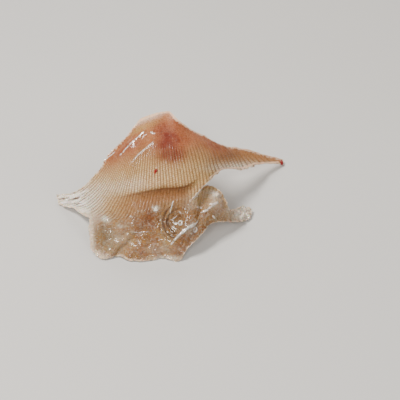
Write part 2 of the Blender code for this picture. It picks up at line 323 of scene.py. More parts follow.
def rayStrength(ray, place, below):  # clear across the wing, lost in the flesh of the root and in the lobe
    clear = smoothStep(-fin["fleshFade"], fin["fleshFade"], below)
    clear *= 1.0 - fin["rayLossAtLip"] * lipShare(ray) * smoothStep(1.0, 1.05, place)
    ends = fin["rayEnds"] + 0.3 * smoothStep(26, 14, ray)
    return clear * (1.0 - fin["rayLossInLobe"] * smoothStep(ends, ends + 0.5, place) * smoothStep(4, 10, ray))


def formRise(ray, place, point, seen):  # the forms that the whole sheet bends to, in millimetres
    middle = within(fin["middleRays"], ray)
    rise = wrinkled(point / mm, fin["waves"]) * middle
    if place < 1.0:
        rise += fin["bellyRise"] * middle * math.sin(math.pi * place)
    lipped = within(fin["lipRiseRays"], ray)
    rise += fin["lipRise"] * lipped * bump(place - 1.0, 0.12)
    rise -= fin["lipUndercut"] * lipped * bump(place - 1.35, 0.25)
    for start, end, height, halfWidth in fin["folds"]:
        rise += height * bump(lineDistance(seen, start, end), halfWidth)
    centre, radius, depth = fin["bowl"]
    return rise - depth * bump((seen - Vector(centre)).length, radius, 4)


def rippleRise(at, seen):
    ripples = fin["ripples"]
    away = seen - Vector(ripples["centre"])
    gap = away.length + wrinkled(at, ripples["wander"])
    ringed = within(ripples["reach"], gap) * smoothStep(*ripples["side"], away.x)
    return ripples["rise"] * ringed * math.sin(2 * math.pi * gap / ripples["spacing"])


def fineRise(ray, place, point, seen, edgeGap):  # crinkles, ripples, blisters and ruffled edges
    at = point / mm
    lobe = smoothStep(1.9, 2.3, place) * smoothStep(8, 18, ray)
    rise = lobe * (wrinkled(at, fin["lobeWrinkles"]) + rippleRise(at, seen))
    ruffle = noise.noise(at / fin["ruffleLength"] + Vector((3.0, 8.0, 5.0)))
    rise += fin["ruffle"] * ruffle * bump(edgeGap, fin["ruffleReach"])
    rise += fin["bead"] * bump(edgeGap, fin["beadReach"]) * smoothStep(0.3, 0.1, place)
    crumbly = bump(edgeGap, fin["rimReach"]) * max(smoothStep(2.2, 2.6, place), smoothStep(6.0, 2.0, ray))
    rise += wrinkled(at, fin["rimWrinkles"]) * crumbly
    rise -= fin["lipStep"] * lipShare(ray) * within((0.99, 1.05, 1.1, 1.6), place)
    uneven = 1.0 + wrinkled(at, fin["crestWrinkles"])
    for start, end, height, halfWidth in fin["crests"]:
        rise += height * uneven * bump(lineDistance(seen, start, end), halfWidth)
    for middle, radius, height in fin["blisters"]:
        rise += height * bump((seen - Vector(middle)).length, radius * 0.75, 3)
    crumpled = wrinkled(at, fin["crumpleWrinkles"])
    for middle, radius, height in fin["crumples"]:
        rise += height * crumpled * bump((seen - Vector(middle)).length, radius)
    return rise


def glazeShare(seen):  # where the glaze is thick and mirrors the light
    lines = [bump(lineDistance(seen, start, end), width * 0.9) for start, end, _, width in fin["crests"]]
    spots = [bump((seen - Vector(middle)).length, radius * 1.1) for middle, radius, _ in fin["blisters"]]
    return max(lines + spots)


def frostWidth(ray, place):  # how far the pale frayed band reaches in from the nearest edge
    frost = fin["frost"]
    if place > 2.5:
        margin = lerp(frost["leftMargin"], frost["rightMargin"], smoothStep(34, 40, ray))
        return lerp(margin, frost["crumbledMargin"], within(fin["crumbledRays"], ray))
    if place > 1.5:
        return frost["slit"] if ray > fin["slitRay"] and place < 2.01 else frost["side"]
    return frost["root"]


def rayRidge(ray, strength):  # broad rounded rays with narrow grooves between them
    fromCrest = abs(ray - math.floor(ray + 0.5)) * 2.0
    return fin["rayRelief"] * strength * (1.0 - 2.0 * fromCrest ** fin["rayBreadth"])


def sheetThick(ray, place, edgeGap):
    fleshy = smoothStep(1.6, 0.0, place) * within(fin["fleshRays"], ray)
    full = lerp(fin["skinThick"], fin["rootThick"], fleshy)
    return lerp(fin["rimThick"], full, smoothStep(0.0, fin["rimTaper"], edgeGap))


# Patches of colour: where they are seen, half width across and up, turn in degrees and strength
patches = {
    "blush": (
        ((-18.4, 33.8), (7.4, 10), 0, 1), ((-16, 25.5), (10, 4.5), 0, 0.55), ((-22, 42), (8, 5), -30, 0.25),
        ((-45, 30), (3, 10), -45, 0.25), ((8, 33), (14, 3.5), -28, 0.2), ((-29, -11), (7, 7), 20, 0.3),
        ((-57.2, -32.2), (1, 0.9), 0, 1), ((-35.4, -32.2), (1.1, 0.9), 0, 1),
        ((-10, -31), (12, 4), 0, 0.15), ((-31, -6), (6, 5), 20, 0.25), ((9, 30), (6, 3), -30, 0.2),
    ),
    "straw": (
        ((-33.5, 43.5), (12, 3), 27, 1), ((-30, 34), (7, 7), 40, 0.25), ((32, 25.5), (16, 5), -14, 0.5),
        ((-52, -30), (14, 6), 0, 0.5), ((-21, -20), (6, 8), 30, 0.5), ((-46, -1), (14, 5), 10, 0.6),
        ((3, 2), (10, 7), -40, 0.9), ((-34, 20), (16, 5), 25, 0.2), ((-50, -16), (11, 14), 0, 0.5),
    ),
    # honey-brown patches; those just under the crease lip and under the flap are painted shade
    "honeyAndShade": (
        ((-43, -6), (10, 9), 0, 0.8), ((-9, -6), (5, 8), 0, 1), ((-8, -22), (5, 4), 45, 0.5),
        ((-15, -15), (5, 5), 0, 0.8), ((-29, -12), (9, 8), 0, 0.4), ((15, 31), (10, 4), -28, 0.7),
        ((-24, 3.5), (24, 3.5), 12, 0.8), ((-50, 31), (4, 8), -45, 0.5), ((-34, 32), (9, 5), 40, 0.6),
        ((-22, 38), (7, 4), 40, 0.4), ((-63, -14), (3, 8), 10, 0.3), ((-1, -19), (5, 10), -40, 0.7),
        ((-41, -15), (8, 8), 0, 0.5), ((-10, -12), (7, 7), 0, 0.6), ((18.5, 24), (8, 2.6), -6, 0.8),
        ((-5, -24.5), (3.5, 4.5), -40, 0.6), ((-29, 17.5), (9, 5), 15, 0.3),
    ),
    "haze": (
        ((-82, 0.5), (12, 7), -20, 1.3), ((-67, 1), (13, 8), 35, 0.7), ((-44, 8), (14, 4), 8, 0.35),
        ((30, -8), (9, 6), 0, 1.8), ((7, 0), (7, 5), -40, 0.35), ((-32, 48.5), (15, 1.9), 24, 0.5),
        ((-17, 51), (2, 3), -20, 0.2), ((-56, -12), (2.4, 1.6), -20, 0.6), ((-20, -35), (9, 1.6), 0, 0.8),
        ((24, 20), (17, 2.6), 2, 0.7), ((36, 29.5), (18, 1.2), -14, 0.3), ((-6, -17.5), (4, 3), 40, 0.3),
        ((-65.5, -22), (1.8, 12), 8, 0.9), ((-58, -34), (6, 1.8), -30, 0.6),
        ((-48.5, -15.5), (2, 1.2), 0, 0.6), ((-48, -24), (6, 10), -30, 0.2), ((-63, -9), (6, 8), 0, 0.3),
        ((-5, -1), (5, 5), 0, 0.15), ((-26.5, -5), (1.8, 1.4), 20, 0.9), ((8.5, 3.5), (3, 1.6), -30, 1),
        ((-57, -11), (2, 1.6), 0, 0.7), ((-23, -30), (13, 3), 0, 0.2),
    ),
    # grey-brown patches of the lobe; the one just under the flap is painted shade
    "smokeAndShade": (
        ((-57, -20), (7, 7), 20, 1), ((-15, -15), (9, 8), 0, 0.9), ((-7, -22), (6, 9), 0, 0.25),
        ((-55, -27), (7, 7), 0, 0.5), ((-36, -16), (8, 5), 0, 0.25), ((-8, -4), (5, 4), 0, 0.4),
        ((0, -20), (6, 11), -40, 0.4), ((13, -10), (6, 4), 0, 0.3), ((24.5, -9.5), (2.5, 1.2), 0, 0.4),
    ),
    "wet": (
        ((-38, 33), (12, 9), 45, 0.4), ((-15, -16), (10, 9), 0, 0.3), ((28, -8), (9, 6), 0, 1),
        ((-54, -20), (12, 12), 0, 0.4), ((12, 27), (22, 7), -28, 0.3), ((-25, -26), (14, 8), 0, 0.3),
        ((-25, -6), (7, 5), 0, 0.6), ((8, -5), (10, 8), 0, 0.8), ((-80, 0), (8, 5), 0, 0.6),
    ),
}


def patchShare(name, seen):
    share = 0.0
    for middle, (halfAcross, halfUp), turn, strength in patches[name]:
        away = Matrix.Rotation(math.radians(-turn), 2) @ (seen - Vector(middle))
        share += strength * math.exp(-((away.x / halfAcross) ** 2) - (away.y / halfUp) ** 2)
    return min(share, 1.0)


fields = (  # what the finish reads from the sheet, besides the patches
    "ray", "along", "across", "up", "ribs", "edge", "frost", "glaze", "lobe", "lip", "creaseShadow", "root",
    "outer",
)


def newObject(name, data):
    made = bpy.data.objects.new(name, data)
    bpy.context.scene.collection.objects.link(made)
    return made


def newPiece(name, bm):
    mesh = bpy.data.meshes.new(name)
    bm.to_mesh(mesh)
    bm.free()
    return newObject(name, mesh)


def layGrid(bm, rows, columns):  # a flat grid, cut open along the slit; gives how far up the cut lies
    bmesh.ops.create_grid(bm, x_segments=columns, y_segments=rows, size=0.5)
    slitY = 0.5 - (fin["wingRows"] + fin["kneeRows"]) / rows
    slitX = fin["slitRay"] / fin["rays"] - 0.5
    near = 0.1 / columns
    slit = [edge for edge in bm.edges
            if all(abs(v.co.y - slitY) < near and v.co.x > slitX - near for v in edge.verts)]
    bmesh.ops.split_edges(bm, edges=slit)
    return slitY


def layOut(bm, layer):
    # Draws the grid out along the rays; gives each vertex's place on its ray and where it lies
    rows = fin["wingRows"] + fin["kneeRows"] + fin["lobeRows"]
    columns = fin["rays"] * fin["columnsPerRay"]
    slitY = layGrid(bm, rows, columns)
    curves = {name: lineCurve(fin[name]) for name in ("rootEdge", "knee", "slitLip", "lobeStart", "margin")}
    paths, placeOf = {}, {}
    for vert in bm.verts:
        place = placeOfRow(round((0.5 - vert.co.y) * rows))
        below = all(face.calc_center_median().y < slitY for face in vert.link_faces)
        column = round((vert.co.x + 0.5) * columns)
        if column not in paths:
            ray = column / fin["columnsPerRay"]
            paths[column] = ray, rayPath(curves, ray)
        ray, path = paths[column]
        point, along = onPath(path, place, below)
        placeOf[vert] = place, point
        vert[layer["ray"]], vert[layer["along"]] = ray, along
    for vert, (place, point) in placeOf.items():
        vert.co = point
    bm.normal_update()
    print("fin laid out along", fin["rays"], "rays,", len(bm.verts), "points")
    return placeOf


def shapeSkins(bm, layer, placeOf):
    # How far each vertex of the upper skin rises and the lower one drops, and what the finish reads there
    rimPoints = [vert for vert in bm.verts if vert.is_boundary]
    nearRim = kdtree.KDTree(len(rimPoints))
    for i, vert in enumerate(rimPoints):
        nearRim.insert(vert.co, i)
    nearRim.balance()

    lift, drop = {}, {}
    for vert in bm.verts:
        ray, (place, point) = vert[layer["ray"]], placeOf[vert]
        seen = seenAt(point)
        rimIndex, edgeGap = nearRim.find(point)[1:]
        edgeGap /= mm
        edgeVert = rimPoints[rimIndex]
        others = [edge.other_vert(vert) for edge in vert.link_edges]
        pitch = max((point - other.co).length for other in others if abs(other[layer["ray"]] - ray) > 0.01)
        below = fleshLineUp(seen.x) - seen.y
        # a ray fades where its neighbours crowd it
        strength = rayStrength(ray, place, below) * smoothStep(0.5, 1.4, pitch * fin["columnsPerRay"] / mm)
        rise = formRise(ray, place, point, seen) + fineRise(ray, place, point, seen, edgeGap)
        lift[vert] = vert.normal * ((rise + rayRidge(ray, strength)) * mm)
        drop[vert] = vert.normal * ((rise - sheetThick(ray, place, edgeGap)) * mm)
        values = {
            "across": seen.x,
            "up": seen.y,
            "ribs": strength,
            "edge": edgeGap,
            "frost": frostWidth(edgeVert[layer["ray"]], placeOf[edgeVert][0]),
            "glaze": glazeShare(seen),
            "lobe": smoothStep(1.5, 2.3, place) * smoothStep(5, 16, ray),
            "lip": lipShare(ray) * within((0.99, 1.03, 1.4, 2.3), place),
            # a painted shadow line just under the lip of the crease
            "creaseShadow": lipShare(ray) * bump(place - 1.04, 0.05),
            "root": smoothStep(14.0, -3.0, below),
            "outer": 1.0,
        }
        for name in patches:
            values[name] = patchShare(name, seen)
        for name, value in values.items():
            vert[layer[name]] = value
    return lift, drop


def closeSheet(bm, layer, lift, drop):
    # A copy turned over makes the lower skin, and a strip of faces joins the two round the rim
    upper = list(bm.verts)
    rim = [edge for edge in bm.edges if edge.is_boundary]
    copies = bmesh.ops.duplicate(bm, geom=upper + list(bm.edges) + list(bm.faces))["vert_map"]
    for edge in rim:
        corners = list(edge.link_faces[0].verts)
        first, second = edge.verts
        if corners[(corners.index(first) + 1) % len(corners)] != second:
            first, second = second, first
        bm.faces.new((second, first, copies[first], copies[second]))
        edge.smooth = False
    lower = {copies[vert] for vert in upper}
    turned = [face for face in bm.faces if all(vert in lower for vert in face.verts)]
    bmesh.ops.reverse_faces(bm, faces=turned)
    for vert in upper:
        copy = copies[vert]
        copy.co += drop[vert]
        vert.co += lift[vert]
        copy[layer["outer"]] = 0.0
        copy[layer["glaze"]] = 0.0


def buildFin():
    bm = bmesh.new()
    layer = {name: bm.verts.layers.float.new(name) for name in (*fields, *patches)}
    placeOf = layOut(bm, layer)
    lift, drop = shapeSkins(bm, layer, placeOf)
    closeSheet(bm, layer, lift, drop)
    for face in bm.faces:
        face.smooth = True
    for vert in bm.verts:  # worn flat where it stands
        vert.co += sight["restShift"]
        vert.co.z = max(vert.co.z, 0.0)
    piece = newPiece("finSheet", bm)
    print("fin sheet made,", len(piece.data.polygons), "faces")
    return piece


def addNode(tree, kind, inputs=None, **settings):
    made = tree.nodes.new(kind)
    for name, value in settings.items():
        setattr(made, name, value)
    for name, value in (inputs or {}).items():
        if isinstance(value, bpy.types.NodeSocket):
            tree.links.new(value, made.inputs[name])
        else:
            made.inputs[name].default_value = value
    return made


def calc(tree, operation, first, second=0.0, clamp=False):
    made = addNode(tree, "ShaderNodeMath", {0: first, 1: second}, operation=operation, use_clamp=clamp)
    return made.outputs[0]


def times(tree, first, *others):
    for other in others:
        first = calc(tree, "MULTIPLY", first, other)
    return first


def scaled(tree, value, factor, offset):
    inputs = {0: value, 1: factor, 2: offset}
    return addNode(tree, "ShaderNodeMath", inputs, operation="MULTIPLY_ADD").outputs[0]


def vectorCalc(tree, operation, first, second, output="Vector"):
    return addNode(tree, "ShaderNodeVectorMath", {0: first, 1: second}, operation=operation).outputs[output]


def ramp(tree, value, low, high):  # 0 at low, 1 at high, smooth between
    made = addNode(tree, "ShaderNodeMapRange", {0: value, 1: low, 2: high, 3: 0.0, 4: 1.0},
                   interpolation_type="SMOOTHSTEP")
    return made.outputs[0]


def blend(tree, share, first, second, mode="MIX"):
    made = addNode(tree, "ShaderNodeMix", {0: share, 6: first, 7: second},
                   data_type="RGBA", blend_type=mode, clamp_factor=True)
    return made.outputs[2]


def cloud(tree, where, scale, detail=3.0, rough=0.55):
    inputs = {"Vector": where, "Scale": scale, "Detail": detail, "Roughness": rough}
    return addNode(tree, "ShaderNodeTexNoise", inputs).outputs["Fac"]


def shaken(tree, place, where, scale, reach):  # place, moved by up to about half of reach each way
    inputs = {"Vector": where, "Scale": scale, "Detail": 2.0}
    swirl = addNode(tree, "ShaderNodeTexNoise", inputs).outputs["Color"]
    centred = vectorCalc(tree, "SUBTRACT", swirl, (0.5, 0.5, 0.5))
    return vectorCalc(tree, "ADD", place, vectorCalc(tree, "MULTIPLY", centred, (reach, reach, reach)))


def seam(tree, where, scale, width):  # 1 on thin wandering lines
    level = calc(tree, "ABSOLUTE", calc(tree, "SUBTRACT", cloud(tree, where, scale, 2.0), 0.5))
    return ramp(tree, level, width, 0.0)


def reads(tree, name):
    return addNode(tree, "ShaderNodeAttribute", attribute_name=name).outputs["Fac"]


def rgb(red, green, blue):  # a screen colour, 0 to 255, as Blender's own linear colour
    def straight(value):
        value /= 255.0
        return value / 12.92 if value <= 0.04045 else ((value + 0.055) / 1.055) ** 2.4
    return (straight(red), straight(green), straight(blue), 1.0)


def newGroup(name, inputs, outputs):
    group = bpy.data.node_groups.new(name, "ShaderNodeTree")
    for way, sockets in (("INPUT", inputs), ("OUTPUT", outputs)):
        for label, kind in sockets.items():
            group.interface.new_socket(name=label, in_out=way, socket_type=kind)
    return group, addNode(group, "NodeGroupInput").outputs, addNode(group, "NodeGroupOutput").inputs


def makeMottle():
    # Uneven colour and grain that every finish here has: clouds over specks
    inputs = {"Vector": "NodeSocketVector", "Size": "NodeSocketFloat"}
    outputs = {"Clouds": "NodeSocketFloat", "Specks": "NodeSocketFloat"}
    group, given, result = newGroup("mottle", inputs, outputs)
    clouds = cloud(group, given["Vector"], given["Size"], 4.0)
    fineSize = times(group, given["Size"], 6.0)
    specks = ramp(group, cloud(group, given["Vector"], fineSize, 2.0), 0.55, 0.72)
    group.links.new(clouds, result["Clouds"])
    group.links.new(specks, result["Specks"])
    return group


def makeNearLine():
    # How far a place lies from the straight stretch between two others
    inputs = {name: "NodeSocketVector" for name in ("Place", "From", "To")}
    group, given, result = newGroup("nearLine", inputs, {"Distance": "NodeSocketFloat"})
    stretch = vectorCalc(group, "SUBTRACT", given["To"], given["From"])
    away = vectorCalc(group, "SUBTRACT", given["Place"], given["From"])
    along = vectorCalc(group, "DOT_PRODUCT", away, stretch, "Value")
    squared = vectorCalc(group, "DOT_PRODUCT", stretch, stretch, "Value")
    share = calc(group, "DIVIDE", along, squared, clamp=True)
    nearest = addNode(group, "ShaderNodeVectorMath", {0: stretch, "Scale": share}, operation="SCALE")
    gap = vectorCalc(group, "DISTANCE", away, nearest.outputs[0], "Value")
    group.links.new(gap, result["Distance"])
    return group


mottle = makeMottle()
nearLine = makeNearLine()


def mottled(tree, where, size):
    made = addNode(tree, "ShaderNodeGroup", node_tree=mottle)
    tree.links.new(where, made.inputs["Vector"])
    made.inputs["Size"].default_value = size
    return made.outputs["Clouds"], made.outputs["Specks"]


def onLines(tree, place, lines):  # 1 on any of the lines, 0 from its half width outwards
    mask = 0.0
    for start, end, halfWidth in lines:
        made = addNode(tree, "ShaderNodeGroup", node_tree=nearLine)
        tree.links.new(place, made.inputs["Place"])
        made.inputs["From"].default_value = (*start, 0.0)
        made.inputs["To"].default_value = (*end, 0.0)
        onOne = ramp(tree, made.outputs["Distance"], halfWidth, 0.35 * halfWidth)
        mask = calc(tree, "MAXIMUM", onOne, mask)
    return mask


finish = {
    "skin": rgb(180, 140, 84),
    "ribCrest": rgb(230, 200, 150),
    "paleCrest": rgb(250, 242, 230),
    "groove": rgb(126, 92, 56),
    "paleGroove": rgb(98, 80, 68),
    "flesh": rgb(180, 112, 72),
    "fleshDeep": rgb(160, 88, 54),
    "blood": rgb(116, 38, 6),
    "straw": rgb(182, 144, 86),
    "honeyAndShade": rgb(136, 80, 32),
    # amber under the crease lip, darkened as painted shade
    "shadedAmber": rgb(124, 72, 24),
    # dark of the painted shadow line under the crease lip
    "creaseShadowLine": rgb(96, 50, 22),
    "lobe": rgb(156, 114, 56),
    "lobeBlush": rgb(138, 86, 42),
    "haze": rgb(246, 236, 218),
    "smokeAndShade": rgb(106, 84, 50),
    "rim": rgb(236, 210, 182),
    # pale edge colour painted as a highlight along the outline
    "paintedEdgeHighlight": rgb(240, 198, 164),
    # near-white of the painted highlights
    "paintedGlint": rgb(254, 248, 240),
    "netShade": rgb(190, 160, 122),  # these three are multiplied in
    "grainShade": rgb(212, 196, 172),
    "rippleShade": rgb(168, 146, 116),
    # patches: name, colour and how much of it shows
    "tints": (
        ("straw", "straw", 0.85), ("honeyAndShade", "honeyAndShade", 0.75), ("smokeAndShade", "smokeAndShade", 0.75),
        ("blush", "blood", 1.15), ("haze", "haze", 0.9),
    ),
    # how much shows of each of the rest; crests lose in flesh, blood and lip, and gain in haze
    "shares": {
        # crests lose under the lip as painted shade
        "crest": {"most": 0.42, "flesh": 0.85, "blood": 0.42, "lip": 0.27, "haze": 0.5},
        "groove": 0.72, "creaseShadow": 0.6, "net": 0.18, "pucker": 0.22, "hollow": 0.55, "ripple": 0.8,
        "rim": 0.85, "specks": 0.05, "paintedGlint": 0.7,
    },
    "roughness": {"dry": 0.58, "wet": 0.32, "cloudy": 0.3},
    "coat": {"dry": 0.05, "wet": 0.5, "lobe": 0.14},
    "sizes": {"mottle": 160.0, "wrinkles": 480.0, "net": 620.0},  # of noise: how many to a metre
    # noise with its size, its detail and the levels between which it goes from none to full
    "noises": {
        "lobeClouds": (130.0, 2.0, 0.38, 0.66),
        "hollows": (300.0, 3.0, 0.5, 0.7),
        "breaks": (620.0, 2.0, 0.28, 0.52),
        "crumbs": (640.0, 3.0, 0.38, 0.6),
        "grain": (1300.0, 2.0, 0.46, 0.66),
    },
    # how patterns are shaken out of line: size, and reach in metres for the net, else millimetres
    "shakes": {"net": (260.0, 0.0022), "ripples": (300.0, 1.2), "paintedGlints": (900.0, 0.7)},
    "puckers": ((240.0, 0.035), (420.0, 0.045)),  # size and width of the pale seams
    "frayedTip": (-64.0, -72.0),  # millimetres across, from where it starts to where it is full
    "jointPitch": 1.3,  # millimetres between the joints of a ray
    "shader": {
        "Specular IOR Level": 0.2,
        "Subsurface Weight": 0.3,
        "Subsurface Radius": (1.0, 0.42, 0.18),
        "Subsurface Scale": 0.0007,
        "Coat Roughness": 0.08,
        "Coat IOR": 1.7,
    },
    # thin pale edges with a painted highlight along the outline, as they are seen, and their half width
    "edges": (
        (((-37.0, 47.0), (-24.0, 52.6), (-18.0, 52.8), (-15.2, 49.4), (-9.3, 45.0), (0.0, 39.7)), 1.0),
        (
            ((0.0, 39.7), (6.0, 36.7), (13.2, 33.0), (22.2, 31.1), (33.0, 28.8), (42.0, 26.4), (49.0, 24.0)),
            0.8,
        ),
        (((6.0, 13.4), (13.2, 18.9), (22.2, 19.3), (27.0, 19.6), (33.0, 22.0), (46.8, 22.6)), 0.7),
        (((-63.0, 19.4), (-57.0, 25.4), (-48.0, 34.2), (-42.0, 40.8), (-37.0, 47.0)), 0.5),
    ),
    # painted highlights on the crests of folds in the glaze: from and to as seen, and half width
    "paintedGlints": (
        ((-32.8, 40), (-46.8, 26.2), 0.42), ((-27.4, 33.6), (-39.6, 22.8), 0.42),
        ((-51, 28.8), (-58.2, 22.6), 0.4), ((-16.8, -26.4), (-4.8, -14.2), 1),
        ((-5.4, -14.8), (-0.6, -10.2), 0.7), ((2, -8), (9.6, -1.8), 0.6), ((2.2, -7.8), (3.8, -6.8), 0.9),
        ((6.8, -3.6), (9, -2.4), 0.8), ((-16.2, -0.6), (-18, -7.8), 0.35),
        ((-13.8, -9.6), (-17.1, -12), 0.35), ((-40.8, -19.2), (-30.6, -19.2), 0.25),
        ((-29, 39.8), (-27, 39.4), 0.7), ((-2.2, -4.2), (0.2, -5.2), 0.9), ((7.2, -9.8), (8.4, -10.8), 0.8),
        ((-6.2, -20.2), (-5.4, -20.6), 0.5), ((-12.2, -7.2), (-11.6, -7.8), 0.5),
        ((-27.4, -5.2), (-26.2, -7.2), 0.6), ((-27.8, -6.4), (-25.4, -6), 0.4),
    ),
    # painted highlight rings round bubbles in the glaze: where they are seen and radius
    "paintedBubbleGlints": (((-11.7, -13.8), 1.2), ((-3.4, -18.0), 1.4)),
}


def newMaterial(name, settings):
    made = bpy.data.materials.new(name)
    made.use_nodes = True
    shader = made.node_tree.nodes["Principled BSDF"]
    for socket, value in settings.items():
        shader.inputs[socket].default_value = value
    return made, made.node_tree, shader


def noiseMask(tree, where, name):
    size, detail, low, high = finish["noises"][name]
    return ramp(tree, cloud(tree, where, size, detail), low, high)


def rayGrid(tree, own):  # 0 on the crest of a ray, 1 in the groove between two, with joints across the rays
    counted = calc(tree, "ADD", own["ray"], 0.5)
    fromCrest = calc(tree, "ABSOLUTE", calc(tree, "SUBTRACT", calc(tree, "FRACT", counted), 0.5))
    groove = ramp(tree, times(tree, fromCrest, 2.0), 0.4, 0.95)
    stagger = times(tree, calc(tree, "FLOOR", counted), 0.37)
    step = calc(tree, "ADD", calc(tree, "DIVIDE", own["along"], finish["jointPitch"]), stagger)
    fromJoint = calc(tree, "ABSOLUTE", calc(tree, "SUBTRACT", calc(tree, "FRACT", step), 0.5))
    joint = ramp(tree, fromJoint, 0.22, 0.46)
    return calc(tree, "MAXIMUM", groove, times(tree, joint, scaled(tree, own["lip"], -0.5, 0.6)))


def drawnOut(tree, own, perRay, perMillimetre, detail, rough=0.55):  # noise drawn out along the rays
    inputs = {0: times(tree, own["ray"], perRay), 1: times(tree, own["along"], perMillimetre)}
    return cloud(tree, addNode(tree, "ShaderNodeCombineXYZ", inputs).outputs[0], 1.0, detail, rough)


def rippleMask(tree, own, where, flat):  # ripples round the bowl of the lobe
    ripples = fin["ripples"]
    start, full, ebb, end = ripples["reach"]
    wavered = shaken(tree, flat, where, *finish["shakes"]["ripples"])
    away = vectorCalc(tree, "DISTANCE", wavered, (*ripples["centre"], 0.0), "Value")
    wave = ramp(tree, calc(tree, "SINE", times(tree, away, 2 * math.pi / ripples["spacing"])), 0.3, -0.9)
    right, left = (ripples["centre"][0] + side for side in ripples["side"])
    ringed = times(tree, ramp(tree, away, start, full), ramp(tree, away, end, ebb))
    return times(tree, ringed, ramp(tree, own["across"], right, left), own["lobe"], wave, own["outer"])


def paintedGlintMask(tree, own, where, flat):  # painted highlights on the crests and round bubbles
    ragged = shaken(tree, flat, where, *finish["shakes"]["paintedGlints"])
    paintedGlint = onLines(tree, ragged, finish["paintedGlints"])
    for middle, radius in finish["paintedBubbleGlints"]:
        gap = vectorCalc(tree, "DISTANCE", ragged, (*middle, 0.0), "Value")
        fromRing = calc(tree, "ABSOLUTE", calc(tree, "SUBTRACT", gap, radius))
        paintedGlint = calc(tree, "MAXIMUM", ramp(tree, fromRing, 0.6, 0.2), paintedGlint)
    return times(tree, paintedGlint, noiseMask(tree, where, "breaks"), own["outer"])


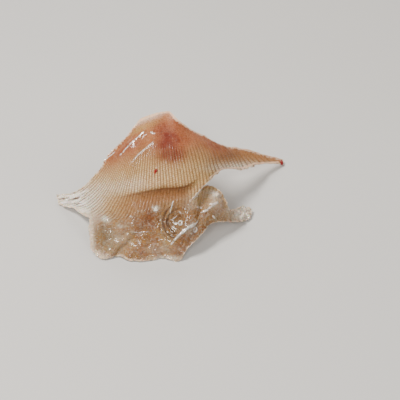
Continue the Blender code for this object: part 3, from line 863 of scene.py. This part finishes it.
def makeFinFinish():
    made, tree, shader = newMaterial("driedFin", finish["shader"])
    where = addNode(tree, "ShaderNodeTexCoord").outputs["Object"]
    own = {name: reads(tree, name) for name in (*fields, *patches)}
    ribs, lobe, lip, root, outer = (own[name] for name in ("ribs", "lobe", "lip", "root", "outer"))
    haze, blush, wet = (own[name] for name in ("haze", "blush", "wet"))
    flat = addNode(tree, "ShaderNodeCombineXYZ", {0: own["across"], 1: own["up"]}).outputs[0]
    sizes, shares = finish["sizes"], finish["shares"]
    clouds, specks = mottled(tree, where, sizes["mottle"])
    grid = rayGrid(tree, own)
    crests = times(tree, calc(tree, "SUBTRACT", 1.0, grid), ribs)
    fibres = drawnOut(tree, own, 2.6, 0.16, 4.0, 0.6)
    patchy = calc(tree, "ADD", clouds, scaled(tree, fibres, 0.6, -0.3))

    # skin, jellied lobe, amber under the crease with painted shade, root flesh, then the patches over them
    lobeColour = blend(tree, noiseMask(tree, where, "lobeClouds"), finish["lobe"], finish["lobeBlush"])
    colour = blend(tree, lobe, finish["skin"], lobeColour)
    colour = blend(tree, lip, colour, finish["shadedAmber"])
    flesh = blend(tree, ramp(tree, patchy, 0.35, 0.7), finish["flesh"], finish["fleshDeep"])
    colour = blend(tree, root, colour, flesh)
    spread = scaled(tree, ramp(tree, patchy, 0.25, 0.75), 0.5, 0.65)
    for patch, name, amount in finish["tints"]:
        colour = blend(tree, times(tree, spread, own[patch], amount), colour, finish[name])

    # pale crests, duller in flesh and blood, dulled as painted shade under the crease, brightest in the haze
    crest = shares["crest"]
    worn = times(tree, scaled(tree, root, -crest["flesh"], 1.0), crest["most"])
    duller = calc(tree, "MAXIMUM", times(tree, blush, crest["blood"]), times(tree, lip, crest["lip"]))
    worn = calc(tree, "SUBTRACT", worn, duller)
    worn = calc(tree, "ADD", worn, times(tree, haze, crest["haze"]), clamp=True)
    crestColour = blend(tree, haze, finish["ribCrest"], finish["paleCrest"])
    colour = blend(tree, times(tree, crests, worn), colour, crestColour)

    # jellied skin: a fine net with darker borders, pale puckers and darker hollows
    bent = shaken(tree, where, where, *finish["shakes"]["net"])
    cells = addNode(tree, "ShaderNodeTexVoronoi", {"Vector": bent, "Scale": sizes["net"]},
                    feature="DISTANCE_TO_EDGE")
    netted = times(tree, ramp(tree, cells.outputs["Distance"], 0.28, 0.0), lobe, shares["net"])
    colour = blend(tree, netted, colour, finish["netShade"], "MULTIPLY")
    coarse, fine = (seam(tree, bent, size, width) for size, width in finish["puckers"])
    pucker = calc(tree, "MAXIMUM", coarse, fine)
    pucker = times(tree, pucker, scaled(tree, lobe, 0.9, 0.1))
    colour = blend(tree, times(tree, pucker, shares["pucker"]), colour, finish["haze"])
    hollow = times(tree, noiseMask(tree, bent, "hollows"), lobe, shares["hollow"])
    colour = blend(tree, hollow, colour, finish["netShade"], "MULTIPLY")
    grain = times(tree, noiseMask(tree, where, "grain"), scaled(tree, lobe, -0.85, 1.0))
    colour = blend(tree, grain, colour, finish["grainShade"], "MULTIPLY")

    # the dark of the ripples and of the grooves, and a painted shadow line along the crease
    ringed = rippleMask(tree, own, where, flat)
    colour = blend(tree, times(tree, ringed, shares["ripple"]), colour, finish["rippleShade"], "MULTIPLY")
    grooveColour = blend(tree, haze, finish["groove"], finish["paleGroove"])
    colour = blend(tree, times(tree, grid, ribs, shares["groove"]), colour, grooveColour)
    colour = blend(tree, times(tree, own["creaseShadow"], shares["creaseShadow"]), colour, finish["creaseShadowLine"])

    # the frayed left tip: pale and dark fibres
    frayed = ramp(tree, own["across"], *finish["frayedTip"])
    frayed = times(tree, frayed, calc(tree, "SUBTRACT", 1.0, lobe))
    split = drawnOut(tree, own, 0.8, 0.09, 2.0)
    colour = blend(tree, times(tree, frayed, ramp(tree, split, 0.52, 0.4)), colour, finish["paleCrest"])
    colour = blend(tree, times(tree, frayed, ramp(tree, split, 0.54, 0.66)), colour, finish["paleGroove"])

    # the crumbling rim, and a painted highlight along the thin edges of the outline
    crumbly = noiseMask(tree, where, "crumbs")
    reach = calc(tree, "DIVIDE", own["edge"], times(tree, own["frost"], scaled(tree, crumbly, 0.9, 0.35)))
    rim = times(tree, ramp(tree, reach, 1.2, 0.4), scaled(tree, crumbly, 0.35, 0.6), shares["rim"])
    colour = blend(tree, rim, colour, finish["rim"])
    colour = blend(tree, times(tree, specks, shares["specks"]), colour, finish["haze"])
    edges = [(start, end, width) for line, width in finish["edges"] for start, end in zip(line, line[1:])]
    # painted highlight along the edges of the outline
    pale = times(tree, onLines(tree, flat, edges), scaled(tree, crumbly, 0.25, 0.7))
    pale = times(tree, pale, outer, ramp(tree, own["edge"], 4.0, 2.0))
    colour = blend(tree, pale, colour, finish["paintedEdgeHighlight"])
    # painted highlights along the crests and round the bubbles
    paintedGlint = paintedGlintMask(tree, own, where, flat)
    colour = blend(tree, times(tree, paintedGlint, shares["paintedGlint"]), colour, finish["paintedGlint"])
    tree.links.new(colour, shader.inputs["Base Color"])

    rough, coat = finish["roughness"], finish["coat"]
    jelly = calc(tree, "MAXIMUM", wet, times(tree, lobe, 0.7))
    smoother = scaled(tree, jelly, rough["wet"] - rough["dry"], rough["dry"])
    uneven = scaled(tree, clouds, rough["cloudy"], -0.5 * rough["cloudy"])
    tree.links.new(calc(tree, "ADD", smoother, uneven), shader.inputs["Roughness"])
    glazed = scaled(tree, wet, coat["wet"] - coat["dry"], coat["dry"])
    glazed = calc(tree, "ADD", glazed, times(tree, lobe, outer, coat["lobe"]))
    tree.links.new(calc(tree, "MAXIMUM", glazed, own["glaze"], clamp=True), shader.inputs["Coat Weight"])

    # the low relief that the mesh leaves out
    strands = addNode(tree, "ShaderNodeBump", {"Height": scaled(tree, fibres, 0.5, crests),
                                               "Strength": 0.6, "Distance": 0.0002})
    wrinkle = times(tree, cloud(tree, where, sizes["wrinkles"]), calc(tree, "ADD", lobe, 0.25))
    for mask, height in ((netted, -0.5), (ringed, -0.5), (pucker, 0.5), (paintedGlint, 0.3)):
        wrinkle = scaled(tree, mask, height, wrinkle)
    wrinkles = addNode(tree, "ShaderNodeBump", {"Height": wrinkle, "Strength": 0.9, "Distance": 0.0009,
                                                "Normal": strands.outputs[0]})
    tree.links.new(wrinkles.outputs[0], shader.inputs["Normal"])
    print("dried fin finish made")
    return made


chilli = {
    # flakes: where they are seen, length, width, thickness and turn
    "flakes": (
        ((-27.0, 16.8), 4.2, 2.1, 0.7, math.radians(95.0)),
        ((49.0, 22.4), 3.6, 2.5, 0.8, math.radians(35.0)),
    ),
    "fray": 0.35,  # how uneven a flake's outline is, as a share of its size
    "crumple": 0.25,
    "shell": 0.35,  # thickness of the curled skin
    "stand": 0.1,  # how far the flake's own level lies above the sheet
    "skin": rgb(120, 6, 5),
    "flesh": rgb(160, 30, 16),
    "shader": {"Coat Weight": 0.6, "Coat Roughness": 0.12},
}


def buildChilli(sheet):
    # Curled chips of dried chilli skin, sunk a little into the glaze
    bpy.context.view_layer.update()
    shifted = eye + sight["restShift"]
    whole = bmesh.new()
    for i, (seen, length, width, thick, turn) in enumerate(chilli["flakes"]):
        place, normal = sheet.ray_cast(shifted, (sightTarget(*seen) - eye).normalized())[1:3]
        chip = bmesh.new()
        bmesh.ops.create_grid(chip, x_segments=10, y_segments=6, size=0.5)
        for vert in chip.verts:
            x, y = vert.co.x, vert.co.y
            frayed = 1.0 + chilli["fray"] * noise.noise(Vector((x * 3, y * 3, i * 5.0)))
            narrow = math.sqrt(max(1.0 - (2 * x * 0.92) ** 2, 0.05))
            crumple = chilli["crumple"] * noise.noise(Vector((x * 4, y * 4, i * 3.0)))
            curl = 0.5 * thick * (1.0 - (2 * y) ** 2)
            vert.co = Vector((x * length * frayed, y * width * narrow * frayed, curl + crumple))
        bmesh.ops.solidify(chip, geom=chip.faces[:], thickness=chilli["shell"])
        bmesh.ops.recalc_face_normals(chip, faces=chip.faces[:])
        bmesh.ops.scale(chip, vec=(mm, mm, mm), verts=chip.verts)
        turned = normal.to_track_quat("Z", "Y").to_matrix().to_4x4() @ Matrix.Rotation(turn, 4, "Z")
        at = Matrix.Translation(place + normal * (chilli["stand"] * mm)) @ turned
        bmesh.ops.transform(chip, matrix=at, verts=chip.verts)
        held = bpy.data.meshes.new("chip")
        chip.to_mesh(held)
        chip.free()
        whole.from_mesh(held)
        bpy.data.meshes.remove(held)
    for face in whole.faces:
        face.smooth = True
    piece = newPiece("chilliFlakes", whole)
    print("chilli flakes made,", len(piece.data.polygons), "faces")
    return piece


def makeChilliFinish():
    made, tree, shader = newMaterial("chilliSkin", chilli["shader"])
    where = addNode(tree, "ShaderNodeTexCoord").outputs["Object"]
    clouds = mottled(tree, where, 900.0)[0]
    colour = blend(tree, ramp(tree, clouds, 0.4, 0.7), chilli["skin"], chilli["flesh"])
    tree.links.new(colour, shader.inputs["Base Color"])
    bumps = addNode(tree, "ShaderNodeBump", {"Height": clouds, "Strength": 0.5, "Distance": 0.0002})
    tree.links.new(bumps.outputs[0], shader.inputs["Normal"])
    tree.links.new(times(tree, clouds, 0.6), shader.inputs["Roughness"])
    return made


room = {
    "floorSize": 4.0,
    "floorGap": 0.0001,  # keeps the floor just under the fin
    "floor": rgb(214, 212, 208),
    "floorShade": rgb(206, 204, 200),
    "floorRoughness": 0.75,
    "world": rgb(230, 226, 220),
    "worldStrength": 0.34,
    # lights: where they stand, width and height, power and colour
    # the key and front lights draw the glints on the folds
    "lights": {
        "keyLight": ((-0.45, -0.14, 0.88), (0.34, 0.2), 12.0, (1.0, 0.96, 0.92)),
        "frontLight": ((-0.16, -0.77, 0.67), (0.16, 0.11), 3.0, (1.0, 0.98, 0.96)),
        "fillLight": ((0.7, -0.6, 0.8), (0.9, 0.9), 4.5, (1.0, 0.97, 0.93)),
        "backLight": ((0.1, 0.9, 0.7), (0.9, 0.4), 5.0, (1.0, 0.98, 0.95)),
    },
    "litPoint": Vector((0.0, 0.0, 0.02)),  # the lights are turned to it
}


def buildFloor():
    bm = bmesh.new()
    bmesh.ops.create_grid(bm, x_segments=2, y_segments=2, size=room["floorSize"] / 2)
    bmesh.ops.translate(bm, vec=(0.0, 0.0, -room["floorGap"]), verts=bm.verts)
    piece = newPiece("floor", bm)
    made, tree, shader = newMaterial("paleFloor", {"Roughness": room["floorRoughness"]})
    where = addNode(tree, "ShaderNodeTexCoord").outputs["Object"]
    clouds = mottled(tree, where, 3.0)[0]
    tree.links.new(blend(tree, clouds, room["floor"], room["floorShade"]), shader.inputs["Base Color"])
    piece.data.materials.append(made)


def buildLights():
    world = bpy.data.worlds.new("softRoom")
    world.use_nodes = True
    background = world.node_tree.nodes["Background"]
    background.inputs["Color"].default_value = room["world"]
    background.inputs["Strength"].default_value = room["worldStrength"]
    bpy.context.scene.world = world
    for name, (place, (wide, high), power, colour) in room["lights"].items():
        light = bpy.data.lights.new(name, "AREA")
        light.shape = "RECTANGLE"
        light.size, light.size_y = wide, high
        light.energy = power
        light.color = colour
        lamp = newObject(name, light)
        lamp.location = place
        lamp.rotation_euler = (room["litPoint"] - Vector(place)).to_track_quat("-Z", "Y").to_euler()


def buildCamera():
    data = bpy.data.cameras.new("photoView")
    data.lens = sight["lens"]
    data.sensor_width = sight["sensorWidth"]
    camera = newObject("photoView", data)
    camera.location = eye + sight["restShift"]
    camera.rotation_euler = (-towardEye).to_track_quat("-Z", "Y").to_euler()
    bpy.context.scene.camera = camera


sheet = buildFin()
sheet.data.materials.append(makeFinFinish())
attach(sheet, "root")
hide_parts("dried_fin")

flakes = buildChilli(sheet)
flakes.data.materials.append(makeChilliFinish())
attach(flakes, "root")

buildFloor()
buildLights()
buildCamera()
print("floor, lights and camera placed")
